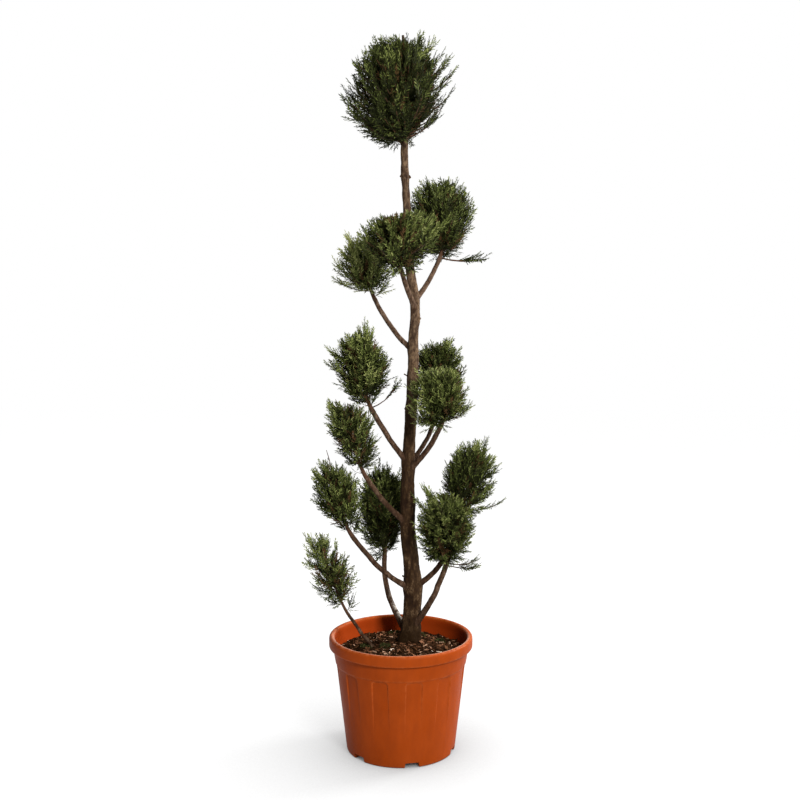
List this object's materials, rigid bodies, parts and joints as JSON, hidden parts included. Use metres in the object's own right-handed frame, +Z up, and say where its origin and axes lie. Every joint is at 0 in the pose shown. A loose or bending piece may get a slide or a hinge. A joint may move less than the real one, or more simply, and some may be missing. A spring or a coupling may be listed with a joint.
{
  "type": "potted pompon topiary tree",
  "caption": "Leyland cypress trained as a pompon tree: a slender leaning trunk and curved boughs hold clipped balls of foliage above a round panelled plastic pot of compost.",
  "frame": {"origin": "centre of the pot's flat underside, on the floor", "axes": "+Z up along the tree's height, -Y towards the viewer of the picture, +X to that viewer's right"},
  "size_m": [0.5026, 0.3787, 1.7606],
  "materials": {
    "pot_plastic": "satin",
    "compost": "matte",
    "trunk_bark": "matte",
    "bough_bark": "matte",
    "foliage": "matte"
  },
  "bodies": {
    "root": {"pot": "pot_plastic", "soil": "compost", "trunk": "trunk_bark", "bough_upper_right": "bough_bark", "bough_upper_front": "bough_bark", "bough_upper_left": "bough_bark", "bough_middle_left": "bough_bark", "bough_middle_right_front": "bough_bark", "bough_middle_right_rear": "bough_bark", "bough_lower_middle_left": "bough_bark", "bough_lower_left": "bough_bark", "bough_centre_rear": "bough_bark", "bough_right_upper": "bough_bark", "bough_right_lower": "bough_bark", "bough_lowest_left": "bough_bark", "foliage_top": "foliage", "foliage_upper_right": "foliage", "foliage_upper_front": "foliage", "foliage_upper_left": "foliage", "foliage_middle_left": "foliage", "foliage_middle_right_front": "foliage", "foliage_middle_right_rear": "foliage", "foliage_lower_middle_left": "foliage", "foliage_lower_left": "foliage", "foliage_centre_rear": "foliage", "foliage_right_upper": "foliage", "foliage_right_lower": "foliage", "foliage_lowest_left": "foliage"}
  },
  "joints": []
}
